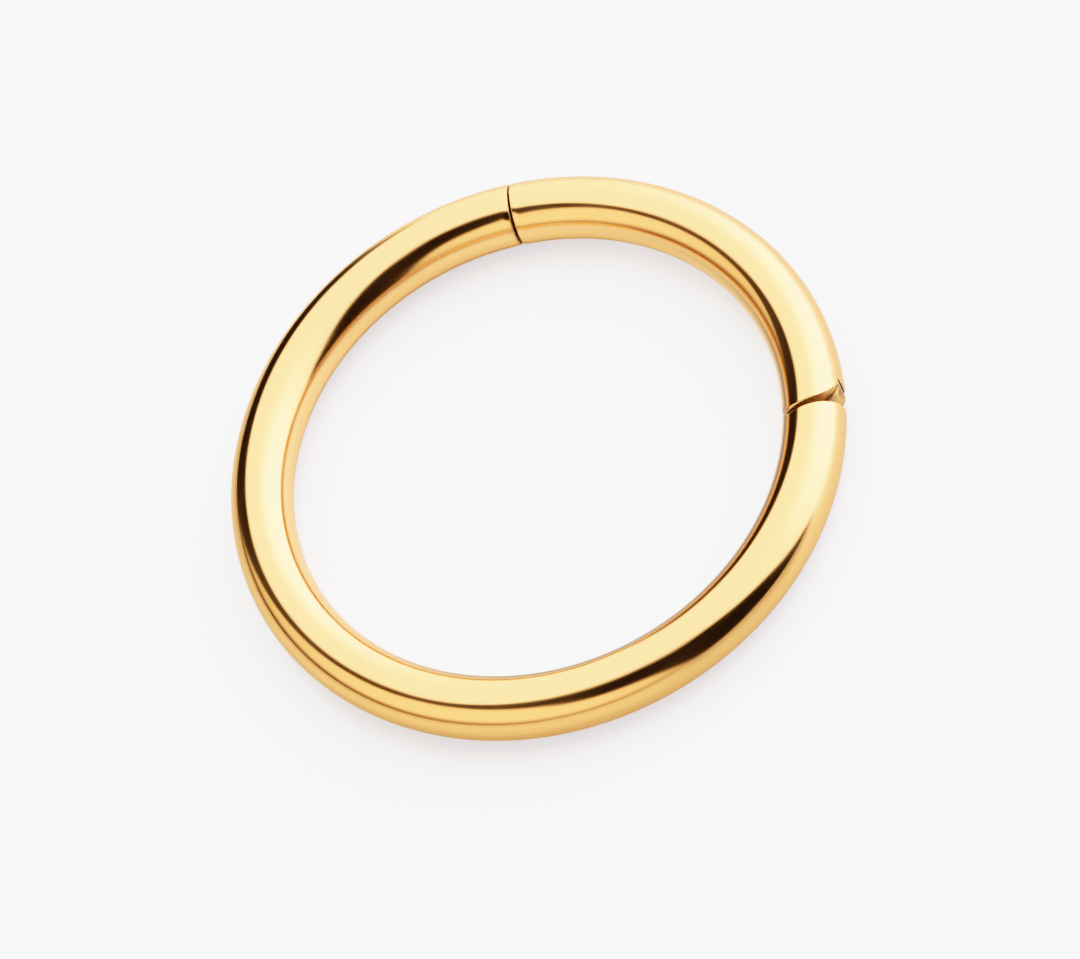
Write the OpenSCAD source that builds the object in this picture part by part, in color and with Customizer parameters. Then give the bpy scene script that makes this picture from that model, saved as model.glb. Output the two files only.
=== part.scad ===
// Clicker ring: a round-wire body jewellery ring whose front segment swings out on a hinge.
// The ring lies flat, its wire touching the plane Z = 0, centred on the Z axis.
// Ring angles are counted from +X towards +Y.
// At the hinge and at the clasp, local X points out of the ring and local Y along the wire.

/* [Ring] */
// Clear diameter inside the closed ring, nominally 3/8 inch
inner_d = 9.6; // [8:0.1:12]
// Diameter of the round wire, nominally 16 gauge
wire_d = 1.2; // [1.18:0.01:1.24]
// Ring angle of the hinge seam
hinge_angle = -25; // [-40:1:-10]
// Ring angle of the clasp seam
clasp_angle = 69.5; // [60:0.5:80]

/* [Hinge seam] */
// How far the hoop's end face lies behind the hinge angle, at the wire's middle
hoop_end_back = 0.12; // [0.1:0.01:0.15]
// Lean of the hoop's end face from a square cut, so that the seam opens inwards
hoop_end_lean = 11.6; // [8:0.2:14]
// How far inside the wire's middle the hoop's end face turns up into a lip
lip_in = 0.38; // [0.36:0.01:0.42]
// Lean of the lip from a square cut
lip_lean = 36; // [30:1:38]
// Width of the seam along the lip
lip_gap = 0.035; // [0.03:0.005:0.05]
// Lean of the straight inner half of the segment's end face
shoulder_lean = 14.6; // [12:0.2:16]
// How far out of the wire's middle the segment's end starts to curve away
shoulder_start_x = 0.05; // [0:0.01:0.08]
// Where the curve starts along the wire
shoulder_start_y = 0; // [-0.02:0.01:0.02]
// Radius of the curve that gives the segment room to swing
shoulder_r = 0.7; // [0.66:0.01:0.74]

/* [Hinge joint] */
// Distance from the wire's middle out to the pin's axis
pin_x = 0.25; // [0.23:0.01:0.26]
// Distance from the hinge angle along the wire to the pin's axis
pin_y = 0.37; // [0.36:0.01:0.38]
// Diameter of the hinge pin
pin_d = 0.25; // [0.2:0.01:0.26]
// Radius of the hoop's rounded tongue round the pin
knuckle_r = 0.29; // [0.27:0.005:0.29]
// Thickness of the tongue
tongue_t = 0.5; // [0.44:0.01:0.52]
// Lean of the tongue's outer wall, from the wire's direction
tongue_lean = 37.4; // [34:0.2:40]
// Clearance beside the tongue, at each face
tongue_gap = 0.015; // [0.01:0.005:0.03]
// Clearance round the tongue's rounded end
knuckle_gap = 0.02; // [0.02:0.005:0.03]
// Angle that the segment swings open
swing = 70; // [60:1:75]
// Radial clearance of the turning pin in the tongue
pin_running_gap = 0.015; // [0.01:0.005:0.03]
// Radial clearance of the fixed pin in the segment's ears
pin_seat_gap = 0.005; // [0.005:0.001:0.01]

/* [Clasp] */
// Width of the clasp seam at the middle of the wire
clasp_gap = 0.035; // [0.03:0.005:0.05]
// Lean that makes the clasp seam wider on the inside of the ring
clasp_lean = 1.4; // [0.8:0.1:2]
// Diameter of the latch post
post_d = 0.24; // [0.2:0.01:0.26]
// How far the latch post stands out of the segment's end
post_out = 0.25; // [0.2:0.01:0.28]
// How deep the latch post is seated in the segment
post_seat = 0.5; // [0.4:0.05:0.7]
// Where the post stands across the wire, from the wire's middle outwards
post_x = -0.1; // [-0.12:0.01:-0.05]
// Clearance round the post's seat
post_seat_gap = 0.005; // [0.005:0.001:0.01]
// Clearance of the post in the hoop's pocket
pocket_gap = 0.03; // [0.02:0.005:0.04]

/* [Hidden] */
wire_r = wire_d / 2;
ring_r = inner_d / 2 + wire_r;
pin_r = pin_d / 2;
post_r = post_d / 2;

// Wire length, as a ring angle, that is left to be cut back at an end
end_spare = 8;
// Size of the blocks that cut the ends, larger than the wire
block = 1.5 * wire_d;
// How much further than the swing the slot lets the tongue's neck turn
swing_spare = 2;

// Where the lip starts, in local hinge X and Y
lip_start = [-lip_in, -hoop_end_back - lip_in * tan(hoop_end_lean)];

// Centre of the shoulder's curve, in local hinge X and Y
shoulder_c = [
  shoulder_start_x - shoulder_r * sin(shoulder_lean),
  shoulder_start_y + shoulder_r * cos(shoulder_lean)
];

// The post leaves the pocket along its swing about the pin, so the pocket is longer outwards
swing_arm = ring_r * [cos(clasp_angle), sin(clasp_angle)] - hinge_point(pin_x, pin_y);
swing_out = cross(swing_arm, [cos(clasp_angle), sin(clasp_angle)]);
swing_back = cross(swing_arm, [-sin(clasp_angle), cos(clasp_angle)]);
pocket_depth = post_out + pocket_gap;
pocket_reach = pocket_depth * abs(swing_out / swing_back);

pocket_r = post_r + pocket_gap;
post_tip = 0.06;
post_tip_r = 0.08;

gold = [0.93, 0.74, 0.42];
gold_inside = [0.80, 0.58, 0.28];

$fn = 96;

// A local hinge point in the ring's own plane
function hinge_point(x, y) = [
  (ring_r + x) * cos(hinge_angle) - y * sin(hinge_angle),
  (ring_r + x) * sin(hinge_angle) + y * cos(hinge_angle)
];

// Stretch of the round wire between two ring angles
module wire(from, to) {
  translate([0, 0, wire_r])
    rotate([0, 0, from])
      rotate_extrude(angle = to - from)
        translate([ring_r, 0])
          circle(wire_r);
}

// Puts its children on the wire's middle at a ring angle, X outwards and Y along the wire
module at_wire(angle) {
  rotate([0, 0, angle])
    translate([ring_r, 0, wire_r])
      children();
}

// Upright slab of a plan shape, centred on the wire's middle
module slab(thickness) {
  translate([0, 0, -thickness / 2])
    linear_extrude(thickness)
      children();
}

// Plan of everything on the hoop's side of its lip, grown by a gap
module behind_lip_plan(gap) {
  translate(lip_start)
    rotate(-lip_lean)
      translate([-2 * block, gap - 2 * block])
        square([4 * block, 2 * block]);
}

// Plan of everything in front of the hoop's end face at the hinge
module hoop_end_cut_plan() {
  difference() {
    translate([0, -hoop_end_back])
      rotate(hoop_end_lean)
        translate([-block, 0])
          square(2 * block);
    behind_lip_plan(0);
  }
}

// Plan of everything in front of the segment's end face, outside the lip
module shoulder_cut_plan() {
  difference() {
    translate([-block, -block])
      square([2 * block, block + shoulder_c.y]);
    translate(shoulder_c)
      circle(shoulder_r);
    translate([shoulder_start_x, shoulder_start_y])
      rotate(shoulder_lean)
        translate([-2 * block, 0])
          square([2 * block, 3 * block]);
  }
}

// Plan of the hoop's tongue: a rounded end on the pin, and a neck that runs down into the hoop
module tongue_plan() {
  translate([pin_x, pin_y])
    circle(knuckle_r);
  intersection() {
    translate([pin_x - knuckle_r, -block])
      square([2 * block, block + pin_y]);
    translate([pin_x, pin_y])
      rotate(-tongue_lean)
        translate([knuckle_r - 2 * block, -2 * block])
          square([2 * block, 2 * block]);
  }
}

// Plan of the slot in the segment, which the tongue fills and its neck swings through
module slot_plan() {
  slot_r = knuckle_r + knuckle_gap;
  translate([pin_x, pin_y]) {
    circle(slot_r);
    rotate(swing + swing_spare - tongue_lean)
      translate([0, -2 * block])
        square([slot_r, 2 * block]);
  }
  translate([pin_x - slot_r, -block])
    square([2 * block, block + pin_y]);
}

// Upright hole or shaft on the hinge axis
module on_pin_axis(r) {
  at_wire(hinge_angle)
    translate([pin_x, pin_y, -wire_d])
      cylinder(r = r, h = 2 * wire_d);
}

// Pocket in the hoop's end face that takes the latch post, longer on its outer side
module latch_pocket() {
  at_wire(clasp_angle)
    translate([post_x, -clasp_gap, 0]) {
      rotate([-90, 0, 0])
        cylinder(r = pocket_r, h = clasp_gap + pocket_depth);
      translate([0, 0, -pocket_r])
        cube([post_r + pocket_reach, clasp_gap + pocket_depth, 2 * pocket_r]);
    }
}

// The fixed part of the ring, about three quarters of it, with the hinge tongue at one end
module hoop() {
  color(gold)
    difference() {
      union() {
        difference() {
          wire(clasp_angle, 360 + hinge_angle + end_spare);
          at_wire(hinge_angle)
            slab(2 * block)
              hoop_end_cut_plan();
        }
        intersection() {
          wire(hinge_angle - end_spare, hinge_angle + 2 * end_spare);
          at_wire(hinge_angle)
            slab(tongue_t)
              tongue_plan();
        }
      }
      on_pin_axis(pin_r + pin_running_gap);
      latch_pocket();
    }
}

// The swinging part of the ring, forked at the hinge and square at the clasp
module segment() {
  color(gold)
    difference() {
      wire(hinge_angle - end_spare, clasp_angle + end_spare);
      at_wire(hinge_angle) {
        slab(2 * block) {
          shoulder_cut_plan();
          behind_lip_plan(lip_gap);
        }
        slab(tongue_t + 2 * tongue_gap)
          slot_plan();
      }
      on_pin_axis(pin_r + pin_seat_gap);
      at_wire(clasp_angle) {
        translate([0, -clasp_gap, 0])
          rotate([0, 0, clasp_lean])
            translate([-block, 0, -block])
              cube(2 * block);
        translate([post_x, -clasp_gap - post_seat, 0])
          rotate([-90, 0, 0])
            cylinder(r = post_r + post_seat_gap, h = block);
      }
    }
}

// Pin through the segment's ears and the hoop's tongue, its ends flush with the wire
module hinge_pin() {
  color(gold_inside)
    intersection() {
      wire(hinge_angle - end_spare, hinge_angle + 2 * end_spare);
      on_pin_axis(pin_r);
    }
}

// Post in the segment's free end that holds the clasp shut in the hoop's pocket
module latch_post() {
  shaft = post_seat + post_out - post_tip;
  color(gold_inside)
    at_wire(clasp_angle)
      translate([post_x, -clasp_gap - post_seat, 0])
        rotate([-90, 0, 0]) {
          cylinder(r = post_r, h = shaft);
          translate([0, 0, shaft])
            cylinder(r1 = post_r, r2 = post_tip_r, h = post_tip);
        }
}

hoop();
segment();
hinge_pin();
latch_post();
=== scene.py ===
"""Looks of the clicker ring: mirror-polished gold wire, a machined hinge tongue and a hidden latch.

Sizes are in millimetres until a finished mesh is scaled to metres.
"""

import math

import bpy
import numpy as np
from mathutils import Matrix, Vector


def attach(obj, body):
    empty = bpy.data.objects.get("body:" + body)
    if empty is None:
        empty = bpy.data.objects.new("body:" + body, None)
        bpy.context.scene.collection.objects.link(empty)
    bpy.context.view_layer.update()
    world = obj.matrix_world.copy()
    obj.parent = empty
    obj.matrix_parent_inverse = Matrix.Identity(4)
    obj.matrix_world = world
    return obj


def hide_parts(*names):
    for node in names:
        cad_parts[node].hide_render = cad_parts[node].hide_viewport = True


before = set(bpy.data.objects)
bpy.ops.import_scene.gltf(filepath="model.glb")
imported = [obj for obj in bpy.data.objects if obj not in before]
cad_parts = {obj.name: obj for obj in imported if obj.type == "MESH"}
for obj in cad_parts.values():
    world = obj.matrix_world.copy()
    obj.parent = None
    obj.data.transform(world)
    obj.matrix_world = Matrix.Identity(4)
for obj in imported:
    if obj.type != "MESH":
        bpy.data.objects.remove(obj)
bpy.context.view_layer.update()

# Gold mirrors gold at the seams and across the ring, so light is followed over many bounces
cycles = bpy.context.scene.cycles
cycles.max_bounces, cycles.glossy_bounces = 16, 12

# ---------------------------------------------------------------- sizes, as in the part's source
WIRE_R = 0.6
RING_R = 4.8 + WIRE_R
HINGE = math.radians(-25)
CLASP = math.radians(69.5)

HOOP_END_BACK = 0.12
HOOP_END_LEAN = math.radians(11.6)
LIP_IN = 0.38
LIP_START = (-LIP_IN, -HOOP_END_BACK - LIP_IN * math.tan(HOOP_END_LEAN))
LIP_LEAN = math.radians(36)
LIP_GAP = 0.035
SHOULDER_LEAN = math.radians(14.6)
SHOULDER_START = (0.05, 0.0)
SHOULDER_R = 0.7

PIN = (0.25, 0.37)
PIN_R = 0.125
PIN_RUNNING_R = PIN_R + 0.015
PIN_SEAT_R = PIN_R + 0.005
TONGUE_T = 0.5
TONGUE_LEAN = math.radians(37.4)
TONGUE_GAP = 0.015
SWING = 70
SWING_SPARE = 2
SLOT_T = TONGUE_T + 2 * TONGUE_GAP
SLOT_R = 0.31
SLOT_LEAN = math.radians(SWING + SWING_SPARE) - TONGUE_LEAN

CLASP_GAP = 0.035
CLASP_LEAN = math.radians(1.4)
POST_R = 0.12
POST_SEAT_R = POST_R + 0.005
POST_OUT = 0.25
POST_SEAT = 0.5
POST_X = -0.1
POST_TIP = 0.06
POST_TIP_R = 0.08
POCKET_R = POST_R + 0.03
POCKET_DEPTH = POST_OUT + 0.03

# ---------------------------------------------------------------- sizes of the dressed pieces
# The tongue's end, 0.29 in the part, leaves only a thin dark line in its slot, as in the photo
KNUCKLE_R = 0.3
TONGUE_EDGE_R = 0.03
# The hoop's end at the clasp stands proud by this much, so that the seam is a thin line
CLASP_PROUD = 0.008
# The pin's ends are polished over, so its holes stop under the skin of the wire
PIN_HALF = 0.43
PIN_HOLE_HALF = 0.44
BEVEL = 0.015

# Where the tongue's neck starts, inside the hoop, and how far out the slot's tool reaches
TONGUE_ROOT = -0.25
SLOT_REACH = 0.9

# Places of a piece's finishes in its list of materials
POLISHED, CUT, TONGUE, BORE, SEAM = range(5)

# Points round the wire, and the angle of ring between two rows of them
AROUND = 112
STEP = math.radians(0.5)
# Rows that lead from an end of the wire to the even rows, and the angle of ring that they take
BLEND_ROWS = 10
BLEND = 0.02
# Rows of faces at the clasp that the polish leaves duller, and darker as painted shade along the
# seam
SEAM_ROWS = 4
# Rows of faces on the inner side of the segment's shoulder that are left as cut
CUT_ROWS = 8
# Angle of ring on either side of a seam in which an end face is looked for
SEARCH = 0.132

# Angle round the wire of each column of points: 0 is outwards and 90 degrees is up
PHI = np.linspace(0, 2 * math.pi, AROUND, endpoint=False)
# 0 on the outer side of the ring and 1 on its inner side
INNER_SIDE = 0.5 - 0.5 * np.cos(PHI)


# ---------------------------------------------------------------- mesh building
def axes_at(angle):
    """Outward, along and up at a ring angle, and the wire's middle there."""
    out = np.array([math.cos(angle), math.sin(angle), 0.0])
    along = np.array([-math.sin(angle), math.cos(angle), 0.0])
    return np.array([out, along, [0.0, 0.0, 1.0]]), RING_R * out + [0, 0, WIRE_R]


def to_ring(local, angle):
    """Points given in the local frame at a ring angle, in the ring's frame."""
    axes, middle = axes_at(angle)
    return np.asarray(local, float) @ axes + middle


def turn_to_ring(local, angle):
    """Directions given in the local frame at a ring angle, in the ring's frame."""
    return np.asarray(local, float) @ axes_at(angle)[0]


class Shell:
    """A closed mesh in the making, with a material and corner normals for every face."""

    def __init__(self):
        self.verts, self.faces, self.mats, self.normals = [], [], [], []

    def points(self, pts):
        start = len(self.verts)
        self.verts.extend(map(tuple, np.asarray(pts, float).reshape(-1, 3)))
        return start

    def face(self, index, mat, normals=None):
        """Adds a face. Without normals it is flat."""
        if normals is None:
            p = np.array([self.verts[i] for i in index])
            q = np.roll(p, -1, 0)
            n = np.cross(p, q).sum(0)
            normals = [n / np.linalg.norm(n)] * len(index)
        self.faces.append(tuple(index))
        self.mats.append(mat)
        self.normals.extend(map(tuple, normals))

    def grid(self, pts, nrm, mat, flip=False):
        """Adds quads over a grid of points that is closed round its second axis.

        Returns the indices of the points.
        """
        rows, cols = pts.shape[:2]
        ids = self.points(pts) + np.arange(rows * cols).reshape(rows, cols)
        flat = nrm.reshape(-1, 3)
        first = ids[0, 0]
        for i in range(rows - 1):
            for j in range(cols):
                k = (j + 1) % cols
                quad = [ids[i, j], ids[i + 1, j], ids[i + 1, k], ids[i, k]]
                if flip:
                    quad.reverse()
                self.face(quad, mat, [flat[v - first] for v in quad])
        return ids

    def object(self, name):
        """Makes the mesh, with points that coincide made one and closed-up faces left out."""
        keys = {}
        index = [keys.setdefault(tuple(np.round(v, 6)), len(keys)) for v in self.verts]
        points = [None] * len(keys)
        for v, i in zip(self.verts, index):
            points[i] = v
        faces, mats, normals, at = [], [], [], 0
        for f, m in zip(self.faces, self.mats):
            corners = [index[i] for i in f]
            keep = [k for k, c in enumerate(corners) if c != corners[k - 1]]
            if len(keep) > 2:
                faces.append([corners[k] for k in keep])
                mats.append(m)
                normals += [self.normals[at + k] for k in keep]
            at += len(f)
        mesh = bpy.data.meshes.new(name)
        mesh.from_pydata(points, [], faces)
        finish = mesh.attributes.new("finish", "INT", "FACE")
        finish.data.foreach_set("value", mats)
        held = mesh.attributes.new("held_normal", "FLOAT_VECTOR", "CORNER")
        held.data.foreach_set("vector", np.array(normals, np.float32).ravel())
        obj = bpy.data.objects.new(name, mesh)
        bpy.context.scene.collection.objects.link(obj)
        return obj


def torus_point(theta, phi, radius):
    """Point at a ring angle and an angle round the wire (0 is outwards, 90 degrees is up)."""
    reach = RING_R + radius * np.cos(phi)
    return np.stack([reach * np.cos(theta), reach * np.sin(theta),
                     WIRE_R + radius * np.sin(phi)], -1)


def plan_at(theta, phi, radius, angle):
    """Local X and Y, at a ring angle, of a point on the wire."""
    reach = RING_R + radius * np.cos(phi)
    return reach * np.cos(theta - angle) - RING_R, reach * np.sin(theta - angle)


def depth_flat(x, y, back, lean):
    """Depth below a straight end face that looks along +Y."""
    return ((back + x * math.tan(lean)) - y) * math.cos(lean)


def past_lip(x, y):
    """Distance in front of the hoop's inner lip."""
    return (x - LIP_START[0]) * math.sin(LIP_LEAN) + (y - LIP_START[1]) * math.cos(LIP_LEAN)


def depth_hoop_end(x, y):
    """Depth below the hoop's end face at the hinge, which looks along +Y and ends in a lip."""
    return np.maximum(depth_flat(x, y, -HOOP_END_BACK, HOOP_END_LEAN), -past_lip(x, y))


def depth_shoulder(x, y):
    """Depth behind the segment's end face at the hinge, which looks along -Y."""
    dx, dy = x - SHOULDER_START[0], y - SHOULDER_START[1]
    s, c = math.sin(SHOULDER_LEAN), math.cos(SHOULDER_LEAN)
    flat = -s * dx + c * dy
    cx, cy = dx + SHOULDER_R * s, dy - SHOULDER_R * c
    curved = SHOULDER_R - np.hypot(cx, cy)
    shoulder = np.where(-c * dx - s * dy >= 0, flat, curved)
    return np.minimum(shoulder, past_lip(x, y) - LIP_GAP)


def rounded_edge(drop, length, count):
    """Profile of an elliptical edge.

    A profile is a list of (distance from the end face, drop below the wire's surface) pairs.
    """
    return [(length * (1 - math.sin(a)), drop * (1 - math.cos(a)))
            for a in np.linspace(0, math.pi / 2, count)]


def sagging_edge(sag, length, edge, count, edge_count):
    """Profile of an end that the polishing wheel has worn down, up to a small rounded edge."""
    worn = [(edge + (length - edge) * (1 - w), sag * w * w) for w in np.linspace(0, 1, count)]
    return worn + [(inset, sag + drop) for inset, drop in rounded_edge(edge, edge, edge_count)[1:]]


def end_rows(angle, depth, sign, profile):
    """Ring angles and radii of the rows that form an end of the wire, from the full wire in.

    depth gives the depth below the end face, and sign is +1 where the wire lies on its -Y side.
    """
    rows_t, rows_r = [], []
    for inset, drop in profile:
        radius = WIRE_R - drop
        lo = np.full_like(PHI, angle - sign * SEARCH)
        hi = np.full_like(PHI, angle + sign * SEARCH)
        for _ in range(48):
            mid = (lo + hi) / 2
            x, y = plan_at(mid, PHI, radius, angle)
            inside = depth(x, y) > inset
            lo, hi = np.where(inside, mid, lo), np.where(inside, hi, mid)
        rows_t.append((lo + hi) / 2)
        rows_r.append(radius + 0 * PHI)
    return np.array(rows_t), np.array(rows_r)


def surface_normals(pts):
    """Normals of a grid that is closed round its second axis, by central differences."""
    along = np.gradient(pts, axis=0)
    across = (np.roll(pts, -1, 1) - np.roll(pts, 1, 1)) / 2
    n = np.cross(along, across)
    return n / np.linalg.norm(n, axis=-1, keepdims=True)


def wire_shell(first, last):
    """Round wire between two ends, each (rows of ring angle, rows of radius).

    Returns its shell, and the indices and places of its points.
    """
    t0, r0 = first
    t1, r1 = last
    near, far = t0[0].max() + BLEND, t1[0].min() - BLEND
    middle = np.linspace(near, far, max(2, round((far - near) / STEP)))
    w = np.linspace(0, 1, BLEND_ROWS + 1)[1:-1, None]
    theta = np.concatenate([t0[::-1], t0[0] + (near - t0[0]) * w, middle[:, None] + 0 * PHI,
                            far + (t1[0] - far) * w, t1])
    radius = np.full_like(theta, WIRE_R)
    radius[:len(t0)] = r0[::-1]
    radius[-len(t1):] = r1
    pts = torus_point(theta, PHI, radius)
    exact = np.stack([np.cos(PHI) * np.cos(theta), np.cos(PHI) * np.sin(theta),
                      np.sin(PHI) + 0 * theta], -1)
    nrm = surface_normals(pts)
    row = np.arange(len(theta))
    on_wire = (row >= len(t0) - 1) & (row <= len(theta) - len(t1))
    nrm[on_wire] = exact[on_wire]
    shell = Shell()
    ids = shell.grid(pts, nrm, POLISHED)
    return shell, ids, pts


def ruled_cap(shell, ids, pts, angle, depth):
    """Upright ruled face over an end ring whose upper and lower halves have the same plan."""
    half = AROUND // 2
    local = (pts - axes_at(angle)[1]) @ axes_at(angle)[0].T
    x, y = local[:, 0], local[:, 1]
    h = 1e-5
    gx = depth(x + h, y) - depth(x - h, y)
    gy = depth(x, y + h) - depth(x, y - h)
    n = -np.stack([gx, gy, 0 * gx], -1)
    n /= np.linalg.norm(n, axis=-1, keepdims=True)
    n = turn_to_ring(n, angle)
    for j in range(half):
        quad = [j, j + 1, (AROUND - j - 1) % AROUND, (AROUND - j) % AROUND]
        quad = list(dict.fromkeys(quad))
        shell.face([ids[q] for q in quad], CUT, [n[q] for q in quad])


def prism(outline, normals, half, mat, angle, round_r=0.0):
    """Upright prism over a convex outline in local X and Y, from -half to half.

    Its upper and lower edges are rounded with round_r.
    """
    outline, normals = np.asarray(outline, float), np.asarray(normals, float)
    levels = []
    for a in (np.linspace(0, math.pi / 2, 5) if round_r else [math.pi / 2]):
        sin, cos = math.sin(a), math.cos(a)
        levels.append((round_r * (1 - sin), -half + round_r * (1 - cos), -cos, sin))
    levels += [(inset, -z, -nz, nr) for inset, z, nz, nr in reversed(levels)]
    flat = np.ones(len(outline))
    pts = np.array([np.c_[outline - inset * normals, z * flat] for inset, z, _, _ in levels])
    nrm = np.array([np.c_[normals * nr, nz * flat] for _, _, nz, nr in levels])
    shell = Shell()
    ids = shell.grid(to_ring(pts, angle), turn_to_ring(nrm, angle), mat, flip=True)
    shell.face(list(ids[0][::-1]), mat)
    shell.face(list(ids[-1]), mat)
    return shell


def arc(cx, cy, radius, a0, a1, count):
    """Points and outward normals of an arc."""
    a = np.linspace(a0, a1, count)
    n = np.stack([np.cos(a), np.sin(a)], -1)
    return np.array([cx, cy]) + radius * n, n


def straight(p, q, count=2):
    """Points from p to q with the outward normal of a counter-clockwise outline."""
    p, q = np.array(p, float), np.array(q, float)
    w = np.linspace(0, 1, count)[:, None]
    d = (q - p) / np.linalg.norm(q - p)
    return p + (q - p) * w, np.repeat([[d[1], -d[0]]], count, 0)


def join(*parts):
    """One outline from several stretches of points and normals."""
    return np.concatenate([p for p, _ in parts]), np.concatenate([n for _, n in parts])


def rod(profile, centre, axis, angle, mat):
    """Turned rod. Its profile is (radius, distance along the axis) pairs."""
    axis = np.array(axis, float)
    side = np.array([0.0, 0, 1]) if abs(axis[2]) < 0.5 else np.array([1.0, 0, 0])
    u = np.cross(side, axis)
    v = np.cross(axis, u)
    a = np.linspace(0, 2 * math.pi, 64, endpoint=False)
    ring = np.cos(a)[:, None] * u + np.sin(a)[:, None] * v
    pts = np.array([np.array(centre) + r * ring + h * axis for r, h in profile])
    edge = np.gradient(np.array(profile, float), axis=0)
    nrm = np.array([ring * dh - axis * dr for dr, dh in edge])
    nrm /= np.linalg.norm(nrm, axis=-1, keepdims=True)
    shell = Shell()
    ids = shell.grid(to_ring(pts, angle), turn_to_ring(nrm, angle), mat, flip=True)
    shell.face(list(ids[0][::-1]), mat)
    shell.face(list(ids[-1]), mat)
    return shell


def upright_rod(radius, half, name):
    """Rod on the hinge pin's axis, as an object to cut with."""
    return rod([(radius, -half), (radius, half)], (*PIN, 0), (0, 0, 1), HINGE, BORE).object(name)


def boolean(obj, tool, operation):
    """Cuts a piece with a tool, or joins them, and deletes the tool."""
    mod = obj.modifiers.new("cut", "BOOLEAN")
    mod.operation = operation
    mod.solver = "EXACT"
    mod.object = tool
    bpy.context.view_layer.update()
    result = obj.evaluated_get(bpy.context.evaluated_depsgraph_get())
    done = bpy.data.meshes.new_from_object(result)
    obj.modifiers.clear()
    spent = (obj.data, tool.data)
    obj.data = done
    bpy.data.objects.remove(tool)
    for mesh in spent:
        bpy.data.meshes.remove(mesh)


def finish_piece(obj, materials, body, node):
    mesh = obj.data
    mesh.transform(Matrix.Scale(0.001, 4))
    held = np.empty(len(mesh.loops) * 3, np.float32)
    mesh.attributes["held_normal"].data.foreach_get("vector", held)
    held = held.reshape(-1, 3)
    face_n = np.empty(len(mesh.polygons) * 3, np.float32)
    mesh.polygons.foreach_get("normal", face_n)
    count = np.empty(len(mesh.polygons), np.int32)
    mesh.polygons.foreach_get("loop_total", count)
    face_n = np.repeat(face_n.reshape(-1, 3), count, 0)
    # A cut turns some faces over, and makes corners that have no normal of their own
    agree = np.einsum("ij,ij->i", held, face_n)
    held[agree < 0] *= -1
    lost = (np.linalg.norm(held, axis=1) < 0.5) | (np.abs(agree) < 0.3)
    held[lost] = face_n[lost]
    mesh.attributes.remove(mesh.attributes["held_normal"])
    mesh.normals_split_custom_set(held.tolist())
    finish = np.empty(len(mesh.polygons), np.int32)
    mesh.attributes["finish"].data.foreach_get("value", finish)
    mesh.attributes.remove(mesh.attributes["finish"])
    mesh.materials.clear()
    for m in materials:
        mesh.materials.append(m)
    mesh.polygons.foreach_set("material_index", finish)
    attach(obj, body)
    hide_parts(node)


# ---------------------------------------------------------------- nodes and materials
class Graph:
    """A node tree with short ways to add nodes. An input is a value or another node's output."""

    def __init__(self, tree):
        self.tree = tree

    def feed(self, socket, value):
        if isinstance(value, bpy.types.NodeSocket):
            self.tree.links.new(value, socket)
        else:
            socket.default_value = value

    def node(self, kind, inputs=None, out=0, **settings):
        n = self.tree.nodes.new(kind)
        for name, value in settings.items():
            setattr(n, name, value)
        for name, value in (inputs or {}).items():
            self.feed(n.inputs[name], value)
        return None if out is None else n.outputs[out]

    def math(self, operation, *values):
        return self.node("ShaderNodeMath", dict(enumerate(values)), operation=operation)

    def ramp(self, value, lo, hi, out_lo=0.0, out_hi=1.0):
        """Smooth step from out_lo at lo to out_hi at hi."""
        return self.node("ShaderNodeMapRange", {"Value": value, "From Min": lo, "From Max": hi,
                                                "To Min": out_lo, "To Max": out_hi},
                         interpolation_type="SMOOTHSTEP")

    def mix(self, factor, a, b):
        return self.node("ShaderNodeMix", {"Factor": factor, "A": a, "B": b}, "Result")

    def mix_color(self, factor, a, b):
        n = self.tree.nodes.new("ShaderNodeMix")
        n.data_type = "RGBA"
        for socket, value in ((n.inputs[0], factor), (n.inputs[6], a), (n.inputs[7], b)):
            self.feed(socket, value)
        return n.outputs[2]

    def noise(self, across, along, up, detail=2.0):
        """Noise whose grain is about 1 on each of three coordinates."""
        at = self.node("ShaderNodeCombineXYZ", {0: across, 1: along, 2: up})
        return self.node("ShaderNodeTexNoise", {"Vector": at, "Scale": 1.0, "Detail": detail})

    def split(self, vector):
        n = self.tree.nodes.new("ShaderNodeSeparateXYZ")
        self.feed(n.inputs[0], vector)
        return n.outputs

    def from_axis(self, x, y):
        """Distance from the ring's axis."""
        return self.math("SQRT", self.math("MULTIPLY_ADD", x, x, self.math("MULTIPLY", y, y)))

    def millimetres(self, angle):
        """Local X, Y and Z at a ring angle, in millimetres, with X and Y from the ring's axis."""
        at = self.node("ShaderNodeTexCoord", out="Object")
        return self.split(self.node("ShaderNodeMapping", {"Vector": at, "Rotation": (0, 0, -angle),
                                                          "Scale": (1000, 1000, 1000)}))

    def bump(self, height, distance, normal=None):
        inputs = {"Height": height, "Distance": distance}
        if normal is not None:
            inputs["Normal"] = normal
        return self.node("ShaderNodeBump", inputs)


def shape_curve(mapping, curve, points):
    """Draws a curve mapping's curve, which has only its two end points, through more points."""
    curve.points[0].location = points[0]
    curve.points[-1].location = points[-1]
    for point in points[1:-1]:
        curve.points.new(*point)
    for point in curve.points:
        point.handle_type = "AUTO_CLAMPED"
    mapping.update()


def metal(name, color, roughness):
    """A metal, with its graph and its shader's inputs."""
    mat = bpy.data.materials.new(name)
    mat.use_nodes = True
    shader = mat.node_tree.nodes["Principled BSDF"].inputs
    shader["Metallic"].default_value = 1.0
    shader["Base Color"].default_value = color
    shader["Roughness"].default_value = roughness
    return mat, Graph(mat.node_tree), shader


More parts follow.
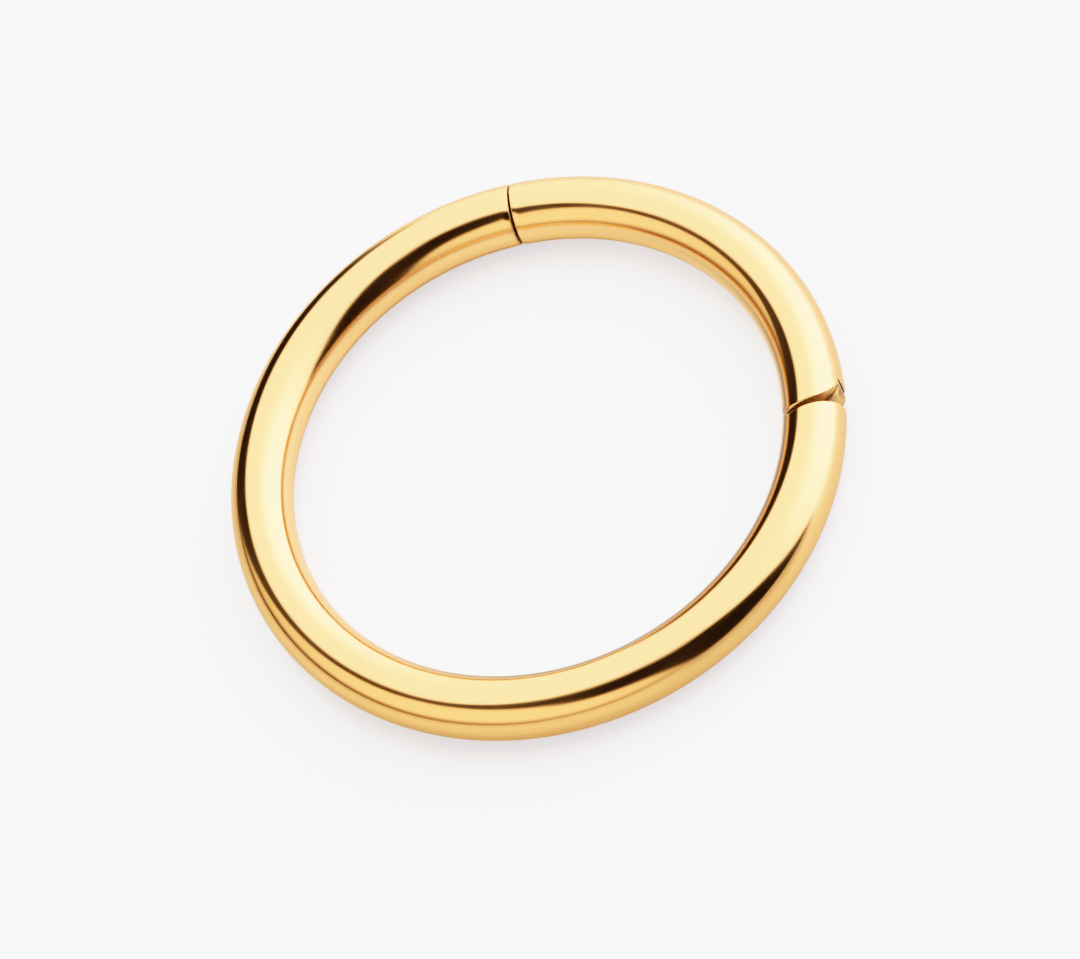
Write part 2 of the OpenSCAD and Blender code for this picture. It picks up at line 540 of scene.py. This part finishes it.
def polished_gold(color):
    """Mirror polish with faint buffing lines along the wire, duller on the inside of the ring."""
    mat, g, shader = metal("polished_gold", color, 0.13)
    # The axes are turned so that the lines start and end at the clasp's seam
    x, y, up = g.millimetres(CLASP + math.pi)
    reach = g.from_axis(x, y)
    along = g.math("MULTIPLY", g.math("ARCTAN2", y, x), RING_R)
    lines = g.noise(g.math("MULTIPLY", reach, 12.0), g.math("MULTIPLY", along, 0.8),
                    g.math("MULTIPLY", up, 12.0))
    waves = g.noise(reach, g.math("MULTIPLY", along, 0.6), up, 1.0)
    dull = g.ramp(reach, RING_R - 0.27, RING_R - 0.5, 0.0, 0.04)
    g.feed(shader["Roughness"], g.math("ADD", g.ramp(lines, 0.3, 0.7, 0.1, 0.15), dull))
    g.feed(shader["Normal"], g.bump(lines, 1.5e-7, g.bump(waves, 4e-6)))
    return mat


def worked_gold(name, angle, grain, depth, light, dark, roughness):
    """Gold with the lines that a tool left.

    grain is how many lines there are in a millimetre on each local axis at a ring angle, and depth
    is in metres.
    """
    light, dark = (*light, 1.0), (*dark, 1.0)
    mat, g, shader = metal(name, light, roughness)
    lines = g.noise(*[g.math("MULTIPLY", v, k) for v, k in zip(g.millimetres(angle), grain)], 3.0)
    g.feed(shader["Base Color"], g.mix_color(g.ramp(lines, 0.35, 0.65), dark, light))
    g.feed(shader["Roughness"], g.ramp(lines, 0.3, 0.7, roughness - 0.06, roughness + 0.06))
    g.feed(shader["Normal"], g.bump(lines, depth))
    return mat


mirror = polished_gold((0.94, 0.64, 0.347, 1.0))
sawn = worked_gold("sawn_gold", HINGE, (4, 4, 30), 2e-6,
                   (0.90, 0.72, 0.50), (0.66, 0.51, 0.34), 0.46)
milled = worked_gold("milled_gold", HINGE, (16, 1.2, 1), 4e-6,
                     (0.84, 0.62, 0.37), (0.42, 0.29, 0.17), 0.36)
bored = worked_gold("bored_gold", HINGE, (6, 6, 30), 2e-6,
                    (0.92, 0.76, 0.55), (0.75, 0.60, 0.42), 0.5)
# Darker gold beside the clasp's seam: painted shade, on top of the rougher, duller polish there
seam = worked_gold("seam_gold", CLASP, (25, 6, 25), 1e-6,
                   (0.80, 0.64, 0.38), (0.55, 0.42, 0.24), 0.45)
satin = worked_gold("satin_gold", CLASP, (25, 1.5, 25), 1e-6,
                    (0.84, 0.64, 0.42), (0.66, 0.48, 0.30), 0.36)
# In the order of POLISHED, CUT, TONGUE, BORE and SEAM
finishes = [mirror, sawn, milled, bored, seam]

# ---------------------------------------------------------------- hoop
clasp_edge = sagging_edge(sag=0.011, length=0.15, edge=0.013 + 0.018 * INNER_SIDE ** 2,
                          count=9, edge_count=5)
clasp_end = end_rows(CLASP, lambda x, y: y + CLASP_PROUD, -1, clasp_edge)
hinge_edge = rounded_edge(drop=0.02, length=0.03, count=7)
hinge_end = end_rows(HINGE + 2 * math.pi, depth_hoop_end, 1, hinge_edge)
shell, ids, pts = wire_shell(clasp_end, hinge_end)
shell.mats[:SEAM_ROWS * AROUND] = [SEAM] * (SEAM_ROWS * AROUND)
shell.face(list(ids[0]), CUT)
ruled_cap(shell, np.roll(ids[-1][::-1], 1), np.roll(pts[-1][::-1], 1, 0), HINGE, depth_hoop_end)
hoop = shell.object("hoop_polished")

# Tongue of the hinge: a rounded end on the pin, and a neck whose outer wall leans
lean_n = np.array([math.cos(-TONGUE_LEAN), math.sin(-TONGUE_LEAN)])
lean_d = np.array([-lean_n[1], lean_n[0]])
tangent = np.array(PIN) + KNUCKLE_R * lean_n
foot = tangent + lean_d * (TONGUE_ROOT - tangent[1]) / lean_d[1]
inner_x = PIN[0] - KNUCKLE_R
outline = join(straight(foot, tangent, 8),
               arc(*PIN, KNUCKLE_R, -TONGUE_LEAN, math.pi, 60),
               straight((inner_x, PIN[1]), (inner_x, TONGUE_ROOT), 8))
tongue = prism(*outline, TONGUE_T / 2, TONGUE, HINGE, TONGUE_EDGE_R)
boolean(hoop, tongue.object("tongue"), "UNION")
boolean(hoop, upright_rod(PIN_RUNNING_R, WIRE_R, "bore"), "DIFFERENCE")


def pocket_shell():
    """Room for the latch post, longer on its outer side, where the post leaves it as it swings."""
    arm = to_ring((0, 0, 0), CLASP) - to_ring((*PIN, 0), HINGE)
    out, along = axes_at(CLASP)[0][:2]
    swing_out = arm[0] * out[1] - arm[1] * out[0]
    swing_back = arm[0] * along[1] - arm[1] * along[0]
    right = POST_X + POST_R + POCKET_DEPTH * abs(swing_out / swing_back)
    a = np.linspace(math.pi / 2, 3 * math.pi / 2, 40)
    left = np.stack([POST_X + POCKET_R * np.cos(a), POCKET_R * np.sin(a)], -1)
    outline = np.concatenate([left, [[right, -POCKET_R], [right, POCKET_R]]])
    n = len(outline)
    shell = Shell()
    ends = [(x, y, z) for y in (-CLASP_GAP, POCKET_DEPTH) for x, z in outline]
    start = shell.points(to_ring(ends, CLASP))
    for i in range(n):
        j = (i + 1) % n
        shell.face([start + j, start + i, start + n + i, start + n + j], BORE)
    shell.face([start + i for i in range(n)], BORE)
    shell.face([start + n + i for i in reversed(range(n))], BORE)
    return shell


boolean(hoop, pocket_shell().object("pocket"), "DIFFERENCE")
finish_piece(hoop, finishes, "hoop", "hoop")

# ---------------------------------------------------------------- segment
shoulder_edge = rounded_edge(drop=0.012 + 0.04 * INNER_SIDE ** 2,
                             length=0.015 + 0.085 * INNER_SIDE ** 2, count=9)
shoulder_end = end_rows(HINGE, depth_shoulder, -1, shoulder_edge)
clasp_end = end_rows(CLASP, lambda x, y: depth_flat(x, y, -CLASP_GAP, CLASP_LEAN), 1, clasp_edge)
shell, ids, pts = wire_shell(shoulder_end, clasp_end)
shell.mats[-SEAM_ROWS * AROUND:] = [SEAM] * (SEAM_ROWS * AROUND)
# The shoulder's edge is left as cut where it faces the middle of the ring
for j in range(AROUND):
    for i in range(round(CUT_ROWS * np.clip((INNER_SIDE[j] - 0.62) / 0.3, 0, 1))):
        shell.mats[i * AROUND + j] = CUT
ruled_cap(shell, ids[0], pts[0], HINGE, depth_shoulder)
shell.face(list(ids[-1][::-1]), CUT)
segment = shell.object("segment_polished")

# Slot that the tongue lies in and its neck swings through
lean_d = np.array([math.sin(SLOT_LEAN), -math.cos(SLOT_LEAN)])
slot_top = np.array(PIN) + SLOT_R * np.array([math.cos(SLOT_LEAN), math.sin(SLOT_LEAN)])
slot_corner = slot_top + lean_d * (SLOT_REACH - slot_top[0]) / lean_d[0]
outline = join(straight((PIN[0] - SLOT_R, -SLOT_REACH), (SLOT_REACH, -SLOT_REACH)),
               straight((SLOT_REACH, -SLOT_REACH), slot_corner),
               straight(slot_corner, slot_top),
               arc(*PIN, SLOT_R, SLOT_LEAN, math.pi, 60))
boolean(segment, prism(*outline, SLOT_T / 2, BORE, HINGE).object("slot"), "DIFFERENCE")
boolean(segment, upright_rod(PIN_SEAT_R, PIN_HOLE_HALF, "pin_hole"), "DIFFERENCE")
post_foot = (POST_X, -CLASP_GAP - POST_SEAT, 0)
seat = rod([(POST_SEAT_R, 0), (POST_SEAT_R, POST_SEAT + 0.2)], post_foot, (0, 1, 0), CLASP, BORE)
boolean(segment, seat.object("post_seat"), "DIFFERENCE")
finish_piece(segment, finishes, "segment", "segment")

# ---------------------------------------------------------------- pin and post
profile = [(PIN_R - BEVEL, -PIN_HALF), (PIN_R, -PIN_HALF + BEVEL),
           (PIN_R, PIN_HALF - BEVEL), (PIN_R - BEVEL, PIN_HALF)]
pin = rod(profile, (*PIN, 0), (0, 0, 1), HINGE, POLISHED).object("hinge_pin_turned")
finish_piece(pin, [mirror], "segment", "hinge_pin")

tip = POST_SEAT + POST_OUT
profile = [(POST_R - BEVEL, 0), (POST_R, BEVEL), (POST_R, tip - POST_TIP),
           (POST_R - 0.008, tip - 0.04), (POST_TIP_R + 0.01, tip - 0.01), (POST_TIP_R, tip)]
post = rod(profile, post_foot, (0, 1, 0), CLASP, POLISHED).object("latch_post_turned")
finish_piece(post, [satin], "segment", "latch_post")

# ---------------------------------------------------------------- floor
# The camera sees a plain pale floor. What the ring mirrors of it has painted light and shade: it is
# darker and warmer, with painted light inside the ring, a painted shadow inside it at the front
# right, and a painted dark zone beyond it at the back left
PLAIN_PAPER, PLAIN_GLOW = (0.71, 0.73, 0.75, 1), (0.77, 0.93, 1.1, 1)
TABLE_GLOW, PAINTED_INSIDE_LIGHT = (0.36, 0.25, 0.12, 1), (0.72, 0.60, 0.47, 1)
PAINTED_SHADE_PAPER, PAINTED_SHADE_GLOW = (0.30, 0.40, 0.62, 1), (0.12, 0.11, 0.10, 1)
PAINTED_DARK_PAPER, PAINTED_DARK_GLOW = (0.03, 0.03, 0.03, 1), (0, 0, 0, 1)

bpy.ops.mesh.primitive_plane_add(size=1.2, location=(0, 0, 0))
floor = bpy.context.object
floor.name = "floor"
mat = bpy.data.materials.new("floor")
mat.use_nodes = True
paper = mat.node_tree.nodes["Principled BSDF"].inputs
paper["Roughness"].default_value = 0.2
paper["Emission Strength"].default_value = 1.0
g = Graph(mat.node_tree)
x, y, _ = g.millimetres(0)
reach = g.from_axis(x, y)
# The painted shadow grows towards the front right, and ends short of the wire
front_right = g.math("ADD", g.math("MULTIPLY", x, 0.5), g.math("MULTIPLY", y, -0.87))
painted_shade = g.math("MULTIPLY", g.ramp(front_right, -3.5, 1.5), g.ramp(reach, 3.2, 4.6, 1.0, 0.0))
# The painted dark zone is a wedge between two slants from the ring's axis
slant = g.math("DIVIDE", x, y)
dark = g.math("MULTIPLY", g.ramp(y, 8.6, 10.0), g.ramp(slant, -0.62, -0.45))
dark = g.math("MULTIPLY", dark, g.ramp(slant, -0.16, -0.03, 1.0, 0.0))
# Painted light: the glow that the ring mirrors of the floor is lighter inside the ring
glow_with_painted_light = g.mix_color(g.ramp(reach, 4.6, 4.9), PAINTED_INSIDE_LIGHT, TABLE_GLOW)
mirrored_paper = g.mix_color(dark, g.mix_color(painted_shade, PLAIN_PAPER, PAINTED_SHADE_PAPER), PAINTED_DARK_PAPER)
mirrored_glow = g.mix_color(dark, g.mix_color(painted_shade, glow_with_painted_light, PAINTED_SHADE_GLOW), PAINTED_DARK_GLOW)
to_camera = g.node("ShaderNodeLightPath", out="Is Camera Ray")
g.feed(paper["Base Color"], g.mix_color(to_camera, mirrored_paper, PLAIN_PAPER))
g.feed(paper["Emission Color"], g.mix_color(to_camera, mirrored_glow, PLAIN_GLOW))
floor.data.materials.append(mat)

# ---------------------------------------------------------------- camera, at the photograph's angle
# Lengths in the picture are in pixels of the photograph
PHOTO_WIDTH = 1080
FOCAL_LENGTH = 6387
SHIFT = (4.42, -26.84)
ELEVATION = math.radians(56.11)
DISTANCE = 0.1203

back = Vector((0, -math.cos(ELEVATION), math.sin(ELEVATION)))
right = Vector((0.8735, -0.4036, -0.2716)).normalized()
up = back.cross(right).normalized()
right = up.cross(back).normalized()
lens = bpy.data.cameras.new("camera")
lens.sensor_width = 36
lens.lens = FOCAL_LENGTH / PHOTO_WIDTH * 36
lens.shift_x = SHIFT[0] / PHOTO_WIDTH
lens.shift_y = SHIFT[1] / PHOTO_WIDTH
lens.clip_start = 0.001
lens.clip_end = 10
camera = bpy.data.objects.new("camera", lens)
bpy.context.scene.collection.objects.link(camera)
place = Matrix.Translation(Vector((0, 0, WIRE_R / 1000)) + back * DISTANCE)
camera.matrix_world = place @ Matrix((right, up, back)).transposed().to_4x4()
bpy.context.scene.camera = camera

# ---------------------------------------------------------------- light
# A bright studio with one dark arch in it. For each azimuth in degrees: the arch's lower and upper
# edge, how soft the edges are, also in degrees, and how much light is left in it
ARCH = [
    (80, -75, -45, 10, 1.6), (90, -50, 6, 7, 0.45), (98, -34, 18, 5, 0.17),
    (106, -28, 25, 4, 0.11), (114, -20, 34, 4, 0.11), (122, -8, 39, 4, 0.13),
    (130, 3, 43.5, 4, 0.18), (138, 15, 47.5, 4, 0.24), (146, 30, 51.5, 4, 0.26),
    (154, 37.5, 55.5, 3.5, 0.26), (162, 42, 58, 3.5, 0.28), (170, 45, 60.5, 3.5, 0.3),
    (178, 48, 64, 4, 0.3), (186, 51, 69, 4.5, 0.3), (194, 52.5, 72, 4.5, 0.28),
    (202, 53.5, 74, 4.5, 0.26), (210, 54, 75.5, 5, 0.22), (226, 53, 76.5, 5, 0.18),
    (234, 47.5, 77, 5, 0.15), (242, 44, 77, 5, 0.12), (250, 41, 76.5, 5, 0.1),
    (258, 38, 76, 5, 0.1), (266, 32, 75, 6, 0.1), (274, 18, 73, 7, 0.12),
    (282, 2, 70, 7, 0.12), (290, -5, 68, 7, 0.1), (298, -7, 63, 6, 0.09),
    (306, -7, 52.5, 5, 0.09), (314, -7, 37.5, 5, 0.1), (322, -7, 19, 5, 0.2),
    (330, -8, 8, 4, 0.55), (338, -22, -14, 6, 1.0),
]
# Azimuth and elevation, in degrees, of the middle of the bright side and of the glow in it, and of
# the lightest place and the dimmest stretch of horizon on the other side
BRIGHT_SIDE = (38.3, 38.6)
GLOW = (20, 20)
OTHER_SIDE = (212, 30)
DIM_HORIZON = (165, 0)
BRIGHT_TINT = (1, 0.88, 0.76, 1)
GLOW_TINT = (1, 0.86, 0.9, 1)
OTHER_TINT = (1.06, 0.84, 0.63, 1)
WHITE = (1, 1, 1, 1)
# What the camera would see of the room past the floor
ROOM_LIGHT = 2.2

world = bpy.data.worlds.new("studio")
bpy.context.scene.world = world
world.use_nodes = True
world.node_tree.nodes.clear()
g = Graph(world.node_tree)
direction = g.node("ShaderNodeTexCoord", out="Generated")
x, y, z = g.split(direction)
# From 0 to 1 round the room, from azimuth 0
turn = g.math("ARCTAN2", g.math("MULTIPLY", y, -1.0), g.math("MULTIPLY", x, -1.0))
turn = g.math("MULTIPLY_ADD", turn, 1 / (2 * math.pi), 0.5)
height = g.math("MULTIPLY", g.math("ARCSINE", z), 180 / math.pi)


def round_the_room(column, beyond, lo, hi):
    """Curve through one column of the arch, whose values lie between lo and hi.

    beyond is the value where the arch has no rows.
    """
    points = [(0, beyond)] + [(row[0], row[column]) for row in ARCH] + [(360, beyond)]
    points = [(azimuth / 360, (value - lo) / (hi - lo)) for azimuth, value in points]
    out = g.node("ShaderNodeFloatCurve", {"Value": turn})
    shape_curve(out.node.mapping, out.node.mapping.curves[0], points)
    return g.math("MULTIPLY_ADD", out, hi - lo, lo)


def toward(azimuth, elevation):
    """How far a ray's direction lies towards this one, from -1 to 1."""
    a, e = math.radians(azimuth), math.radians(elevation)
    aim = (math.cos(a) * math.cos(e), math.sin(a) * math.cos(e), math.sin(e))
    return g.node("ShaderNodeVectorMath", {0: direction, 1: aim}, "Value", operation="DOT_PRODUCT")


lower = round_the_room(1, -60, -90, 90)
upper = round_the_room(2, -60, -90, 90)
soft = round_the_room(3, 5, 0, 20)
left = round_the_room(4, 1, 0, 2)
above = g.ramp(g.math("DIVIDE", g.math("SUBTRACT", height, lower), soft), -1.0, 1.0)
softer = g.math("MULTIPLY", soft, 1.4)
below = g.ramp(g.math("DIVIDE", g.math("SUBTRACT", upper, height), softer), -1.0, 1.0)
arch = g.math("MULTIPLY", above, below)

other = g.math("MULTIPLY_ADD", g.ramp(toward(*OTHER_SIDE), 0.4, 1.0), 0.7, 1.75)
horizon = g.math("MULTIPLY_ADD", toward(*DIM_HORIZON), -0.42, 0.55)
other = g.math("MULTIPLY", other, g.ramp(height, 1.0, 18.0, horizon, 1.0))
glow = g.math("POWER", g.ramp(toward(*GLOW), 0.5, 1.0), 1.5)
bright = g.math("MULTIPLY_ADD", glow, 1.1, 2.95)
bright_side = g.ramp(toward(*BRIGHT_SIDE), 0.18, 0.38)
light = g.mix(arch, g.mix(bright_side, other, bright), left)
tint = g.mix_color(glow, g.mix_color(bright_side, OTHER_TINT, BRIGHT_TINT), GLOW_TINT)
to_camera = g.node("ShaderNodeLightPath", out="Is Camera Ray")
sky = g.node("ShaderNodeBackground", {"Color": g.mix_color(to_camera, tint, WHITE),
                                     "Strength": g.mix(to_camera, light, ROOM_LIGHT)})
g.node("ShaderNodeOutputWorld", {"Surface": sky}, None)

# ---------------------------------------------------------------- tone
# The photograph's strong contrast: pairs of light and of a picture's level from 0 to 255
TONE = [(0, 0), (0.02, 6), (0.05, 15), (0.1, 36), (0.2, 71), (0.35, 105), (0.55, 141),
        (0.8, 177), (1.1, 204), (1.5, 225), (2.0, 243), (3.0, 251.5), (5.0, 254), (6.0, 255)]
WHITE_LEVEL = TONE[-1][0]


def from_picture(level):
    """Light that the Standard view shows as this level of a picture."""
    v = level / 255
    return v / 12.92 if v <= 0.04045 else ((v + 0.055) / 1.055) ** 2.4


view = bpy.context.scene.view_settings
view.view_transform = "Standard"
view.use_curve_mapping = True
tone = view.curve_mapping
tone.white_level = (WHITE_LEVEL,) * 3
shape_curve(tone, tone.curves[3], [(x / WHITE_LEVEL, from_picture(level)) for x, level in TONE])
